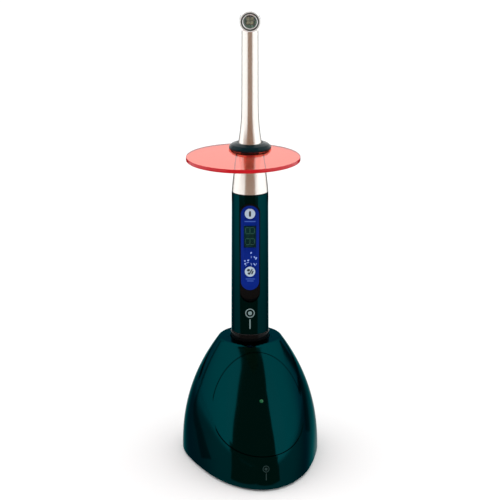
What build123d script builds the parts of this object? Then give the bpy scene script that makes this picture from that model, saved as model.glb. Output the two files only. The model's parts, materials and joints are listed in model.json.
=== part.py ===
from build123d import *
import os
from math import cos, hypot, radians, sin

# A dental curing light: a battery wand with an LED head and an amber-red eye
# shield, standing in a gumdrop-shaped charging dock. Millimetres, +Z up, the
# dock's nose towards -Y, origin on the table under the middle of the footprint.

# ---- Dock ----
PLAN = [(0, 76.5), (20, 67.8), (40, 55.5), (60, 48.7), (80, 46.8), (100, 46.6),
        (135, 46.0), (180, 42.0)]  # degrees from the nose, radius from the wand's axis
TOP_R = 20.9
TOP_Z = 81.7
SLOPE_POWER = 2.3
SEAM_KNOT = 5  # sections start at this knot of the plan, on a plain side wall
LEVELS = [0.0, 0.12, 0.25, 0.4, 0.55, 0.7, 0.83, 0.93, 1.0]  # shares of the height
SHELL_BOTTOM = 1.2
WALL = 2.5
RABBET = 1.3

OVAL_TOP_Z = 78.5
OVAL_BOTTOM_Z = 23.0
OVAL_WIDTH = 62.0
OVAL_LEDGE = 3.0
OVAL_DEPTH = 14.0  # how far the oval's bar reaches in behind its chord
SEAM = 0.2
LENS_R = 2.5

SOCKET_R = 13.6
LINER_R = 15.0
LINER_FLANGE_R = 18.0
LINER_FLANGE_H = 2.4
FLOOR_Z = 33.95
FLOOR_T = 3.0

PLATE_Z = 2.2
PLATE_T = 2.2
PLATE_GAP = 0.3
FOOT_R = 5.0
FEET = [(25, 27), (16, -56)]  # each is mirrored to -X
SCREWS = [(34, 8), (24, -44)]
POST_R = 3.2
POST_TOP = 56.0
SCREW_R = 1.25
SCREW_HEAD_R = 2.5

BOARD_Z = 12.0
BOARD_T = 1.6
BOARD_SIZE = (44.0, 44.0)
BOARD_HOLE_PITCH = 38.0
BALLAST_SIZE = (38.0, 36.0, 12.0)
BALLAST_Y = -42.0

JACK_SIZE = (9.0, 12.0, 11.0)
JACK_BACK_Y = 37.6
JACK_BORE_R = 2.8
JACK_BORE_DEPTH = 9.0
JACK_PIN_R = 1.0
JACK_WINDOW_R = 3.6

PIN_X = [0.0, 7.0]  # one pin under the centre pad, one under the ring
PIN_BARREL_R = 1.4
PIN_BORE_R = 0.95
PIN_R = 0.88
PIN_TIP_R = 0.6
PIN_TIP_Z = 34.1
PIN_COLLAR_TOP = 31.6
PIN_SPRING_H = 2.4

# ---- Wand ----
WAND_YAW = -8.0  # the wand is turned a little in its socket
TAIL_Z = 34.0
TAIL_TOP = 85.6
TAIL_R = 13.1
TAIL_FLOOR = 4.0
SPIGOT_R = 10.12
SPIGOT_TOP = 95.0
CELL_BORE_R = 9.35
CELL_R = 9.1
CELL_L = 65.0
CELL_Z = 43.0
PAD_R = 2.2
RING_IN = 5.5
RING_OUT = 8.5

BARREL_BOTTOM = 86.2
BARREL_TOP = 182.7
BARREL_R_BOTTOM = 12.7
BARREL_R_TOP = 12.2
BARREL_BORE_R = 10.2
JOINT_RING_T = 0.5
NECK_Z = BARREL_TOP + JOINT_RING_T
NECK_SPIGOT_Z = 179.0
NECK_CURVE = [(12.15, NECK_Z), (11.2, 192.5), (9.25, 206.5), (7.6, 217.0),
              (6.25, 227.5), (5.68, 238.0), (5.55, 250.0)]
NECK_TOP_R = 5.4
NECK_BORE_R = 3.8
HEAD_Z = 296.6
HEAD_R = 6.9
HEAD_DEPTH = 10.8
HEAD_BORE_R = 5.9
HEAD_FLOOR_Y = 1.5
HEAD_EDGE = 0.9

POCKET_W = 13.5
POCKET_Z = (109.0, 177.6)
FLAT_Y = -10.4
LABEL_W = 12.1
LABEL_Z = (117.2, 175.7)
LABEL_T = 0.25
WINDOW_W = 8.0
WINDOW_Z = (146.9, 161.8)
KEY_R = 3.5
KEY_GAP = 0.06
KEY_Z = {"power_key": 170.2, "mode_key": 130.1}
KEY_TRAVEL = 0.4
BOARD_Y = -5.4

# ---- Eye shield ----
DISC_R = 37.1
DISC_TOP = 212.0
DISC_T = 2.5
DISC_OFFSET = (-4.4, -21.5)
DISC_HOLE_R = 12.0
HUB_R = 11.93
COLLAR_BORE = [(9.2, 208.3), (8.9, 210.6), (8.88, 215.6)]  # clears the neck, and the head above it
COLLAR_TOP = (9.4, 216.2)
COLLAR_LIP_R = 14.0

WAND_AXIS_Y = (PLAN[0][1] - PLAN[-1][1]) / 2


def cyl(r, z0, z1, x=0.0, y=0.0):
    """A standing cylinder from z0 to z1."""
    return Pos(x, y, z0) * Cylinder(r, z1 - z0, align=(Align.CENTER, Align.CENTER, Align.MIN))


def block(x0, x1, y0, y1, z0, z1):
    """A box between two corners."""
    return Pos((x0 + x1) / 2, (y0 + y1) / 2, (z0 + z1) / 2) * Box(x1 - x0, y1 - y0, z1 - z0)


def plate_xz(sketch, y0, y1):
    """A flat sketch in X and Z, made solid from y0 to y1."""
    return extrude(Plane.XZ.offset(-y0) * sketch, -(y1 - y0))


def drum(r, y0, y1, x=0.0, z=0.0):
    """A cylinder that lies along Y."""
    return plate_xz(Pos(x, z) * Circle(r), y0, y1)


def turned(points):
    """A solid of revolution about Z from a closed outline of (radius, height)."""
    outline = Polyline([(r, 0, z) for r, z in points], close=True)
    return revolve(make_face(outline), Axis.Z)


def coil(radius, wire_r, z0, height, turns):
    """A helical spring standing on z0."""
    path = Helix(pitch=height / turns, height=height, radius=radius)
    section = Plane(origin=path @ 0, z_dir=path % 0) * Circle(wire_r)
    return Pos(0, 0, z0) * sweep(section, path=path, is_frenet=True)


def mirrored(points):
    """Each point and its twin across the dock's middle plane."""
    return [(side * x, y) for x, y in points for side in (1, -1)]


# ---- Dock geometry ----

def plan_wire(inset, share, z, top_r):
    """One closed section of the dock: the plan shrunk towards the round top."""
    knots = PLAN + [(360 - a, r) for a, r in PLAN[-2:0:-1]]
    points = []
    for a, r in knots[SEAM_KNOT:] + knots[:SEAM_KNOT]:
        radius = top_r + (r - inset - top_r) * share
        points.append((radius * sin(radians(a)), -radius * cos(radians(a)), z))
    return Spline(points, periodic=True)


def gumdrop(inset, bottom):
    """The dock's outer form, moved inwards by inset."""
    top = TOP_Z - inset
    top_r = TOP_R - 0.45 * inset
    faces = []
    for level in LEVELS:
        z = bottom + (top - bottom) * level
        share = 1 - (max(z, 0) / top) ** SLOPE_POWER
        faces.append(make_face(plan_wire(inset, share, z, top_r)))
    return loft(faces)


def front_radius(z):
    """How far the front of the dock is from the wand's axis at a height."""
    share = 1 - (z / TOP_Z) ** SLOPE_POWER
    return TOP_R + (PLAN[0][1] - TOP_R) * share


def oval_plane():
    """The plane of the oval inlay's chord, facing out of the front slope."""
    y_top = -front_radius(OVAL_TOP_Z)
    y_bottom = -front_radius(OVAL_BOTTOM_Z)
    rise = OVAL_TOP_Z - OVAL_BOTTOM_Z
    run = y_top - y_bottom
    origin = (0, (y_top + y_bottom) / 2, (OVAL_TOP_Z + OVAL_BOTTOM_Z) / 2)
    return Plane(origin=origin, x_dir=(1, 0, 0), z_dir=(0, -rise, run)), hypot(rise, run)


def oval_prism(shrink):
    """A long elliptical bar through the front slope."""
    plane, length = oval_plane()
    ellipse = Ellipse(OVAL_WIDTH / 2 - shrink, length / 2 - shrink)
    return extrude(plane.offset(-OVAL_DEPTH) * ellipse, OVAL_DEPTH + 30)


def indicator_bar(r, low, high):
    """A round bar on the oval's axis, between two heights over its chord."""
    plane, _ = oval_plane()
    return extrude(plane.offset(low) * Circle(r), high - low)


def dock_parts():
    outer = gumdrop(0, SHELL_BOTTOM)
    middle = gumdrop(RABBET, -1)
    inner = gumdrop(WALL, -1)

    shell = outer - inner
    for x, y in mirrored(SCREWS):
        post = cyl(POST_R, PLATE_Z + PLATE_T + 0.05, POST_TOP, x, y) & middle
        shell += post - cyl(SCREW_R, 0, 16, x, y)
    shell -= cyl(LINER_R + 0.05, 60, 90)
    shell -= (oval_prism(0) & outer) - middle
    shell -= oval_prism(OVAL_LEDGE)
    shell -= drum(JACK_WINDOW_R, 30, 50, 0, BOARD_Z + BOARD_T + JACK_SIZE[2] / 2)

    cover = (oval_prism(SEAM) & outer) - middle - indicator_bar(LENS_R, -10, 40)
    over_chord = indicator_bar(LENS_R - 0.05, -10, 40) & outer
    lens = over_chord - middle
    plane, _ = oval_plane()
    bulge = (lens.center() - plane.origin).dot(plane.z_dir)
    led = indicator_bar(1.5, bulge - 4.6, bulge - 1.4)
    led_board = indicator_bar(5.0, bulge - 5.9, bulge - 4.65)

    liner = cyl(LINER_R, FLOOR_Z - FLOOR_T, TOP_Z - 0.2)
    liner += cyl(LINER_FLANGE_R, TOP_Z - WALL - 0.1 - LINER_FLANGE_H, TOP_Z - WALL - 0.1)
    liner -= cyl(SOCKET_R, FLOOR_Z, 90)
    for x in PIN_X:
        liner -= cyl(PIN_BARREL_R + 0.05, 20, 40, x, 0)

    plate_face = make_face(plan_wire(WALL + PLATE_GAP, 1.0, PLATE_Z, TOP_R))
    plate = extrude(plate_face, PLATE_T)
    half = BOARD_HOLE_PITCH / 2
    board_holes = [(x, y) for x in (-half, half) for y in (-half, half)]
    for x, y in board_holes:
        plate += cyl(3.0, PLATE_Z + PLATE_T, BOARD_Z - 0.02, x, y)
        plate -= cyl(SCREW_R, PLATE_Z + PLATE_T, BOARD_Z, x, y)
    for x, y in mirrored(SCREWS):
        plate -= cyl(SCREW_R + 0.2, 0, 10, x, y)
        plate -= cyl(SCREW_HEAD_R + 0.3, 0, PLATE_Z + 1.2, x, y)

    feet = [cyl(FOOT_R, 0, PLATE_Z, x, y) for x, y in mirrored(FEET)]
    feet = [chamfer(f.edges().group_by(Axis.Z)[0], 0.5) for f in feet]
    base_screws = [screw(x, y, PLATE_Z + 1.15, 1.1, 12.0) for x, y in mirrored(SCREWS)]
    board_top = BOARD_Z + BOARD_T
    board_screws = []
    for x, y in board_holes:
        board_screws.append(screw(x, y, board_top + 0.02, -1.4, -6.5))

    board = block(-BOARD_SIZE[0] / 2, BOARD_SIZE[0] / 2, -BOARD_SIZE[1] / 2,
                  BOARD_SIZE[1] / 2 + 6, BOARD_Z, board_top)
    for x, y in board_holes:
        board -= cyl(SCREW_R + 0.1, 0, 20, x, y)
    chips = block(-14, -6, -16, -8, board_top, board_top + 2)
    chips += block(6, 15, -17, -9, board_top, board_top + 6)
    chips += cyl(4, board_top, board_top + 9, -12, 8)
    chips += block(8, 16, 2, 10, board_top, board_top + 3)

    ballast = block(-BALLAST_SIZE[0] / 2, BALLAST_SIZE[0] / 2, BALLAST_Y - BALLAST_SIZE[1] / 2,
                    BALLAST_Y + BALLAST_SIZE[1] / 2, PLATE_Z + PLATE_T + 0.02,
                    PLATE_Z + PLATE_T + BALLAST_SIZE[2])
    ballast = fillet(ballast.edges().filter_by(Axis.Z), 8)

    jack_z = board_top + 0.02 + JACK_SIZE[2] / 2
    jack = block(-JACK_SIZE[0] / 2, JACK_SIZE[0] / 2, JACK_BACK_Y - JACK_SIZE[1], JACK_BACK_Y,
                 board_top + 0.02, board_top + 0.02 + JACK_SIZE[2])
    bore_end = JACK_BACK_Y - JACK_BORE_DEPTH
    jack -= drum(JACK_BORE_R, bore_end, JACK_BACK_Y + 1, 0, jack_z)
    jack_pin = drum(JACK_PIN_R, bore_end, JACK_BACK_Y - 1.5, 0, jack_z)

    carrier = block(-6, 13, -5, 5, FLOOR_Z - FLOOR_T - 5.05, FLOOR_Z - FLOOR_T - 0.05)
    barrels = []
    for x in PIN_X:
        carrier -= cyl(PIN_BARREL_R + 0.02, 20, 40, x, 0)
        barrels.append(pin_barrel(x))
    return {
        "dock_shell": shell, "oval_cover": cover, "indicator_lens": lens,
        "indicator_led": led, "indicator_board": led_board, "socket_liner": liner,
        "dock_base_plate": plate, "rubber_feet": feet, "base_screws": base_screws,
        "charging_board": board, "board_components": chips, "board_screws": board_screws,
        "ballast_weight": ballast, "dc_jack": jack, "jack_pin": jack_pin,
        "contact_carrier": carrier, "pin_barrels": barrels,
        "centre_plunger": plunger(PIN_X[0]), "ring_plunger": plunger(PIN_X[1]),
        "centre_pin_spring": pin_spring(PIN_X[0]), "ring_pin_spring": pin_spring(PIN_X[1]),
    }


def screw(x, y, seat, head, shank):
    """A pan-head screw: head and shank are signed lengths from its seat."""
    low, high = sorted((seat, seat - head))
    body = cyl(SCREW_HEAD_R, low, high, x, y)
    low, high = sorted((seat, seat + shank))
    body += cyl(SCREW_R - 0.05, low, high, x, y)
    slot = high if shank < 0 else seat - head
    recess = 0.6
    drive = cyl(1.0, slot - recess, slot + recess, x, y)
    if shank < 0:
        drive = cyl(1.0, seat - head - recess, seat - head + 1, x, y)
    return body - drive


def pin_barrel(x):
    """The brass tube that a charging pin runs in."""
    bottom = FLOOR_Z - FLOOR_T - 4.0
    tube = cyl(PIN_BARREL_R, bottom, FLOOR_Z - 0.3, x, 0)
    tube -= cyl(PIN_BORE_R, bottom + 0.8, PIN_COLLAR_TOP + 0.05, x, 0)
    return tube - cyl(PIN_TIP_R + 0.05, bottom + 0.8, 40, x, 0)


def plunger(x):
    """A gold-plated spring pin: a collar in the tube and a round-ended tip."""
    pin = cyl(PIN_TIP_R, PIN_COLLAR_TOP - 0.5, PIN_TIP_Z, x, 0)
    pin = fillet(pin.edges().group_by(Axis.Z)[-1], 0.3)
    return pin + cyl(PIN_R, PIN_COLLAR_TOP - 1.2, PIN_COLLAR_TOP, x, 0)


def pin_spring(x):
    z1 = PIN_COLLAR_TOP - 1.2
    return Pos(x, 0, 0) * coil(0.66, 0.12, z1 - PIN_SPRING_H - 0.15, PIN_SPRING_H, 4)


# ---- Wand geometry, facing -Y, its axis on Z ----

def slot_sketch(width, z0, z1):
    """A stadium standing in X and Z."""
    r = width / 2
    body = Pos(0, (z0 + z1) / 2) * Rectangle(width, z1 - z0 - width)
    return body + Pos(0, z0 + r) * Circle(r) + Pos(0, z1 - r) * Circle(r)


def neck_housing():
    """The tapered neck and the short round head, one metal casting."""
    curve = Spline([(r, 0, z) for r, z in NECK_CURVE], tangents=[(-0.1, 0, 1), (0, 0, 1)])
    top = (NECK_TOP_R, 0, HEAD_Z - 2)
    edges = [curve, Line(curve @ 1, top), Line(top, (0, 0, HEAD_Z - 2))]
    edges += [Line((0, 0, HEAD_Z - 2), (0, 0, NECK_SPIGOT_Z))]
    edges += [Line((0, 0, NECK_SPIGOT_Z), (BARREL_BORE_R - 0.05, 0, NECK_SPIGOT_Z))]
    edges += [Line((BARREL_BORE_R - 0.05, 0, NECK_SPIGOT_Z), (BARREL_BORE_R - 0.05, 0, NECK_Z))]
    edges += [Line((BARREL_BORE_R - 0.05, 0, NECK_Z), curve @ 0)]
    neck = revolve(make_face(edges), Axis.Z)
    head = drum(HEAD_R, -HEAD_DEPTH / 2, HEAD_DEPTH / 2, 0, HEAD_Z)
    head = fillet(head.edges().filter_by(GeomType.CIRCLE), HEAD_EDGE)
    neck += head
    neck -= cyl(NECK_BORE_R, NECK_SPIGOT_Z - 1, HEAD_Z - HEAD_R + 1.2)
    return neck - drum(HEAD_BORE_R, -10, HEAD_FLOOR_Y, 0, HEAD_Z)


def head_parts():
    front = -HEAD_DEPTH / 2
    bezel = drum(HEAD_BORE_R - 0.03, front - 0.2, front + 1.8, 0, HEAD_Z)
    bezel -= drum(4.95, front - 1, front + 3, 0, HEAD_Z)
    ball = Pos(0, front + 10.4, HEAD_Z) * Sphere(10.6)
    lens = drum(4.9, front - 0.2, front + 1.6, 0, HEAD_Z) & ball
    floor = HEAD_FLOOR_Y - 0.03
    board = drum(HEAD_BORE_R - 0.1, floor - 1.3, floor, 0, HEAD_Z)
    cup_front = front + 1.85
    cup = drum(HEAD_BORE_R - 0.1, cup_front, floor - 1.33, 0, HEAD_Z)
    cone = Pos(0, cup_front, HEAD_Z) * Rot(-90, 0, 0) * Cone(
        4.8, 3.6, floor - 1.33 - cup_front, align=(Align.CENTER, Align.CENTER, Align.MIN))
    emitter = block(-2.4, 2.4, floor - 2.5, floor - 1.33, HEAD_Z - 2.4, HEAD_Z + 2.4)
    dies = []
    for x in (-0.75, 0.75):
        for z in (-0.75, 0.75):
            dies.append(block(x - 0.6, x + 0.6, floor - 2.75, floor - 2.52,
                              HEAD_Z + z - 0.6, HEAD_Z + z + 0.6))
    pipe = cyl(2.4, 165, HEAD_Z - HEAD_R + 1.0, 0, 1.2)
    leads = [cyl(0.5, 177, HEAD_Z - HEAD_R + 1.0, x, -2.3) for x in (-1.2, 1.2)]
    return {"head_bezel": bezel, "front_lens": lens, "reflector_cup": cup - cone,
            "led_board": board, "led_package": emitter, "led_dies": dies,
            "heat_pipe": pipe, "led_leads": leads}


def handle_barrel():
    barrel = turned([(BARREL_BORE_R, BARREL_BOTTOM), (BARREL_R_BOTTOM, BARREL_BOTTOM),
                     (BARREL_R_TOP, BARREL_TOP), (BARREL_BORE_R, BARREL_TOP)])
    return barrel - plate_xz(slot_sketch(POCKET_W, *POCKET_Z), -14, -5)


def panel_parts():
    low, high = POCKET_Z
    bezel = plate_xz(slot_sketch(POCKET_W - 0.1, low + 0.05, high - 0.05), FLAT_Y, -7.95)
    label = plate_xz(slot_sketch(LABEL_W, *LABEL_Z), FLAT_Y - LABEL_T, FLAT_Y - 0.01)
    window_face = Pos(0, sum(WINDOW_Z) / 2) * RectangleRounded(
        WINDOW_W, WINDOW_Z[1] - WINDOW_Z[0], 0.6)
    opening = plate_xz(offset(window_face, 0.06), -14, -5)
    bezel -= opening
    label -= opening
    window = plate_xz(window_face, FLAT_Y - LABEL_T - 0.05, FLAT_Y + 0.7)
    z0, z1 = WINDOW_Z
    digits = block(-WINDOW_W / 2, WINDOW_W / 2, FLAT_Y + 0.75, BOARD_Y - 1.25, z0, z1)
    digits = fillet(digits.edges().filter_by(Axis.Y), 0.6)
    keys = {}
    switches = []
    for name, z in KEY_Z.items():
        hole = drum(KEY_R + KEY_GAP, -14, -5, 0, z)
        bezel -= hole
        label -= hole
        cap = drum(KEY_R, FLAT_Y - LABEL_T - 0.35, FLAT_Y + 1.4, 0, z)
        cap = fillet(cap.edges().group_by(Axis.Y)[0], 0.3)
        keys[name] = cap + drum(1.4, FLAT_Y + 1.4, BOARD_Y - 2.75, 0, z)
        case = block(-3, 3, BOARD_Y - 1.62, BOARD_Y - 1.22 + 0.02, z - 3, z + 3)
        switches.append(case + drum(1.2, BOARD_Y - 2.2, BOARD_Y - 1.6, 0, z))
    board = block(-7.3, 7.3, BOARD_Y - 1.2, BOARD_Y, 111.0, 176.5)
    chips = block(-4, 4, BOARD_Y + 0.02, BOARD_Y + 1.6, 140, 150)
    chips += block(-3, 3, BOARD_Y + 0.02, BOARD_Y + 2.4, 156, 164)
    chips += cyl(1.4, 122, 130, -3.5, BOARD_Y + 1.7) + cyl(1.4, 122, 130, 3.5, BOARD_Y + 1.7)
    carrier = cyl(BARREL_BORE_R - 0.15, 110.5, 176.9) - cyl(8.0, 112.5, 175, 0, 0)
    carrier -= block(-12, 12, -12, BOARD_Y + 0.03, 100, 190)
    carrier -= block(-8, 8, BOARD_Y, 0, 112.5, 175)
    carrier -= cyl(2.6, 160, 190, 0, 1.2) + block(-2, 2, -6, 0, 170, 190)
    parts = {"panel_bezel": bezel, "panel_label": label, "display_window": window,
             "display_module": digits, "tact_switches": switches, "control_board": board,
             "control_components": chips, "board_carrier": carrier}
    parts.update(keys)
    return parts


def tail_parts():
    outer = turned([(0, TAIL_Z), (TAIL_R, TAIL_Z), (TAIL_R, TAIL_TOP), (SPIGOT_R, TAIL_TOP),
                    (SPIGOT_R, SPIGOT_TOP), (0, SPIGOT_TOP)])
    outer = fillet(outer.edges().group_by(Axis.Z)[0], 1.5)
    housing = outer - cyl(CELL_BORE_R, TAIL_Z + TAIL_FLOOR, 100)
    housing -= cyl(PAD_R + 0.03, 30, 40)
    ring_cut = cyl(RING_OUT + 0.03, TAIL_Z - 1, TAIL_Z + 1.6)
    housing -= ring_cut - cyl(RING_IN - 0.03, 30, 40)
    pad = cyl(PAD_R, TAIL_Z + 0.15, TAIL_Z + TAIL_FLOOR)
    ring = cyl(RING_OUT, TAIL_Z + 0.15, TAIL_Z + 1.55) - cyl(RING_IN, 30, 40)
    gap = 0.05
    seal = cyl(12.3, TAIL_TOP + gap, BARREL_BOTTOM - gap) - cyl(SPIGOT_R + 0.1, 80, 90)
    spring_z = TAIL_Z + TAIL_FLOOR + 0.45
    spring = coil(3.2, 0.35, spring_z, CELL_Z - spring_z - 0.45, 3)
    cell = cyl(CELL_R, CELL_Z, CELL_Z + CELL_L)
    cell = fillet(cell.edges().filter_by(GeomType.CIRCLE), 0.8)
    button = cyl(2.8, CELL_Z + CELL_L, CELL_Z + CELL_L + 0.9)
    contact = cyl(4.5, CELL_Z + CELL_L + 1.0, CELL_Z + CELL_L + 1.4)
    return {"tail_housing": housing, "tail_pad": pad, "tail_ring": ring, "tail_seal": seal,
            "battery_spring": spring, "battery_cell": cell + button, "cell_contact": contact}


def joint_ring():
    ring = cyl(11.9, BARREL_TOP + 0.02, NECK_Z - 0.02)
    return ring - cyl(BARREL_BORE_R + 0.02, 180, 190)


def shield_parts():
    low = DISC_TOP - DISC_T
    seat = DISC_TOP + 0.06
    foot = low - 0.06
    bore = [(r, 0, z) for r, z in COLLAR_BORE]
    top = (COLLAR_TOP[0], 0, COLLAR_TOP[1])
    edge = (COLLAR_LIP_R, 0, seat + 0.7)
    groove = [(COLLAR_LIP_R - 0.5, 0, seat), (HUB_R, 0, seat), (HUB_R, 0, foot), (12.8, 0, foot),
              (12.3, 0, bore[0][2]), bore[0]]
    lip = [Line(a, b) for a, b in zip(bore, bore[1:] + [top])]
    lip.append(ThreePointArc(top, (12.2, 0, 215.3), edge))
    lip.append(ThreePointArc(edge, (13.9, 0, seat + 0.2), groove[0]))
    lip += [Line(a, b) for a, b in zip(groove, groove[1:])]
    grommet = revolve(make_face(lip), Axis.Z)
    disc = cyl(DISC_R, low, DISC_TOP, *DISC_OFFSET)
    disc = fillet(disc.edges().filter_by(GeomType.CIRCLE), 0.4)
    return {"shield_grommet": grommet, "shield_disc": disc - cyl(DISC_HOLE_R, 190, 220)}


def main():
    wand = {"neck_housing": neck_housing(), "joint_ring": joint_ring(),
            "handle_barrel": handle_barrel()}
    for group in (head_parts(), panel_parts(), tail_parts(), shield_parts()):
        wand.update(group)
    os.makedirs("parts", exist_ok=True)
    to_axis = Pos(0, WAND_AXIS_Y, 0)
    for group, place in ((dock_parts(), to_axis), (wand, to_axis * Rot(0, 0, WAND_YAW))):
        for name, shape in group.items():
            solids = shape if isinstance(shape, list) else [shape]
            placed = Compound(children=[s for one in solids for s in (place * one).solids()])
            export_step(placed, f"parts/{name}.step")


main()
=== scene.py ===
"""Looks of the cordless curing light: the wand, its eye shield and the charging dock."""
import json
import math
import bpy
import bmesh
import numpy as np
from mathutils import Matrix, Vector


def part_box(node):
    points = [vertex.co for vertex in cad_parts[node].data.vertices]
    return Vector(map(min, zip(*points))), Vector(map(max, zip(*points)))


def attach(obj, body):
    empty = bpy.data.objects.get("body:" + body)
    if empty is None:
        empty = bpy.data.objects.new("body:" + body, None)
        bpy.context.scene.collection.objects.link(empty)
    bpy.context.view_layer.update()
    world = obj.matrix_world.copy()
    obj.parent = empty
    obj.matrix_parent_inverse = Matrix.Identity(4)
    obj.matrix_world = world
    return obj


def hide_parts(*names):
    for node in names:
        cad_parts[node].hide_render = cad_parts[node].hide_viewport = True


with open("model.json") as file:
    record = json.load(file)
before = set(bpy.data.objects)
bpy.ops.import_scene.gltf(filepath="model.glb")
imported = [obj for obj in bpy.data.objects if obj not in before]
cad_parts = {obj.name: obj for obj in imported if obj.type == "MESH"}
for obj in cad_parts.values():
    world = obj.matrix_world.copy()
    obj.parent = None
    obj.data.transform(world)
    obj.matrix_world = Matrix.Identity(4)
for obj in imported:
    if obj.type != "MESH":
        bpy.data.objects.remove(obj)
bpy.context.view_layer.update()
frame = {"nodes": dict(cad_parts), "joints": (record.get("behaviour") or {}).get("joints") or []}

MM = 0.001


def joint(name):
    """A joint of the frame by its name."""
    return next(j for j in frame["joints"] if j["name"] == name)


def low(node):
    """A node's lowest corner, in millimetres."""
    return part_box(node)[0] / MM


def high(node):
    """A node's highest corner, in millimetres."""
    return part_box(node)[1] / MM


# ---- Places, from the frame ----
AXIS = (low("joint_ring") + high("joint_ring")) / 2
AXIS.z = 0
INWARD = Vector(joint("power_key_press")["axis"])
WAND_YAW = math.atan2(-INWARD.x, INWARD.y)
DOCK = Matrix.Translation((AXIS.x * MM, AXIS.y * MM, 0))
WAND = DOCK @ Matrix.Rotation(WAND_YAW, 4, "Z")
LIE_DOWN = Matrix.Rotation(math.radians(90), 4, "X")  # a lathe's +Z becomes -Y, out of the panel

# ---- Dock, millimetres ----
PLAN = [(0, 76.5), (20, 67.8), (40, 55.5), (60, 48.7), (80, 46.8), (100, 46.6),
        (135, 46.0), (180, 42.0)]  # degrees from the nose, radius from the wand's axis
DOCK_TOP = high("dock_shell").z
DOCK_BOTTOM = low("dock_shell").z
TOP_R = 20.9
SLOPE_POWER = 2.3
WALL = 2.5
RIM_ROUND = 1.3
LINER_R = 15.0
OVAL_TOP_Z = 78.5
OVAL_BOTTOM_Z = 23.0
OVAL_WIDTH = 62.0
SEAM = 0.55
INDICATOR_R = 1.35

# ---- Wand, millimetres ----
BARREL_LOW = low("handle_barrel").z
BARREL_HIGH = high("handle_barrel").z
BARREL_R = (12.7, 12.2)
BARREL_BORE_R = 10.2
NECK_LOW = BARREL_HIGH + 0.5
NECK_CURVE = [(12.15, NECK_LOW), (11.2, 192.5), (9.25, 206.5), (7.6, 217.0),
              (6.25, 227.5), (5.68, 238.0), (5.55, 250.0)]
NECK_TOP_R = 5.4
HEAD_Z = (low("front_lens").z + high("front_lens").z) / 2
HEAD_R = 6.9
HEAD_HALF = 5.4
HEAD_BORE_R = 5.9
HEAD_FLOOR = -1.5
LENS_SEAT_R = 4.42
LIP_R = (4.47, 4.93)
WINDOW_RING_IN = 5.0
WINDOW_DEPTH = 1.9
PACKAGE_HALF = 2.4
DIE_HALF = 0.92
DIE_SPACING = 1.08
TAIL_R = 13.1
TAIL_BORE_R = 9.35
TAIL_SPIGOT_TOP = 95
LAND_R = 5.45
RING_DEPTH = 1.6
RING_OUT = 8.53
PIN_HOLE_R = 2.23
TAIL_HIGH = 85.6
THROUGH = (-14, -5)  # in front of the barrel and behind the panel's insert
POCKET_W = 13.5
POCKET_Z = (109.0, 177.6)
FLAT_Y = -10.4
LABEL_W = 12.1
LABEL_Z = (117.2, 175.7)
LABEL_T = 0.25
WINDOW_W = 8.0
WINDOW_Z = (146.9, 161.8)
KEY_R = 3.5
PRINT_Y = FLAT_Y - LABEL_T - 0.02
DIGIT_Y = FLAT_Y + 0.3
DIGIT_SPAN = 2.95
DIGIT_STROKE = 0.5
BARREL_MARK_Z = 101.5
DOCK_MARK_Z = 15.5
KEY_Z = {"power_key": 170.2, "mode_key": 130.1}

# ---- Shield, millimetres ----
DISC_R = 37.1
DISC_LOW = low("shield_disc").z
DISC_HIGH = high("shield_disc").z
DISC_OFFSET = (-4.4, -21.5)
DISC_HOLE_R = 12.0
COLLAR_R = 14.0

# ---- Studio, millimetres, but for the camera's metres ----
FAR = 6000.0
SHEET_Z = 0.5
FLOOR_SHADOW_M = (0.25, 0.68)  # metres: painted floor shadow, darkest inside the first, none beyond the second
SCREEN_R = 500
SCREEN_TOP = 64
CAMERA_EYE = Vector((0, -1.1, 0.4729))
CAMERA_AIM = Vector((0, 0, 0.142))
CAMERA_LENS = 123.2


# ---- Finishes ----

class Value:
    """A node's output that arithmetic can be done on."""

    def __init__(self, finish, socket):
        self.finish = finish
        self.socket = socket

    def __add__(self, other):
        return self.finish.math("ADD", self, other)

    def __mul__(self, other):
        return self.finish.math("MULTIPLY", self, other)


class Finish:
    """One procedural material: constants sit on the shader, what varies is linked to it."""

    def __init__(self, name, **constants):
        self.material = bpy.data.materials.new(name)
        self.material.use_nodes = True
        self.tree = self.material.node_tree
        self.shader = self.tree.nodes["Principled BSDF"]
        for key, value in constants.items():
            self.shader.inputs[key.replace("_", " ")].default_value = value
        self.place = self.node("ShaderNodeTexCoord", {}, {}, "Object")

    def node(self, kind, settings, inputs, output=0):
        """Adds a node: its settings first, then the values or links of its sockets."""
        made = self.tree.nodes.new(kind)
        for key, value in settings.items():
            setattr(made, key, value)
        for key, value in inputs.items():
            if isinstance(value, Value):
                self.tree.links.new(value.socket, made.inputs[key])
            else:
                made.inputs[key].default_value = value
        return Value(self, made.outputs[output])

    def math(self, operation, a, b):
        return self.node("ShaderNodeMath", {"operation": operation}, {0: a, 1: b})

    def mix(self, factor, a, b):
        """Colour a where the factor is 0, colour b where it is 1."""
        settings = {"data_type": "RGBA", "blend_type": "MIX"}
        return self.node("ShaderNodeMix", settings, {0: factor, 6: a, 7: b}, 2)

    def stretched(self, scale):
        """Object coordinates, scaled differently along each axis."""
        return self.node("ShaderNodeMapping", {}, {"Vector": self.place, "Scale": scale})

    def noise(self, scale, detail=2.0, rough=0.5, at=None):
        inputs = {"Vector": at or self.place, "Scale": scale, "Detail": detail, "Roughness": rough}
        return self.node("ShaderNodeTexNoise", {}, inputs)

    def feed(self, **inputs):
        """Links what varies to the shader's sockets."""
        for key, value in inputs.items():
            self.tree.links.new(value.socket, self.shader.inputs[key.replace("_", " ")])
        return self

    def bump(self, height, strength, distance):
        inputs = {"Height": height, "Strength": strength, "Distance": distance}
        return self.feed(Normal=self.node("ShaderNodeBump", {}, inputs))


def rgb(r, g, b):
    return (r, g, b, 1.0)


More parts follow.
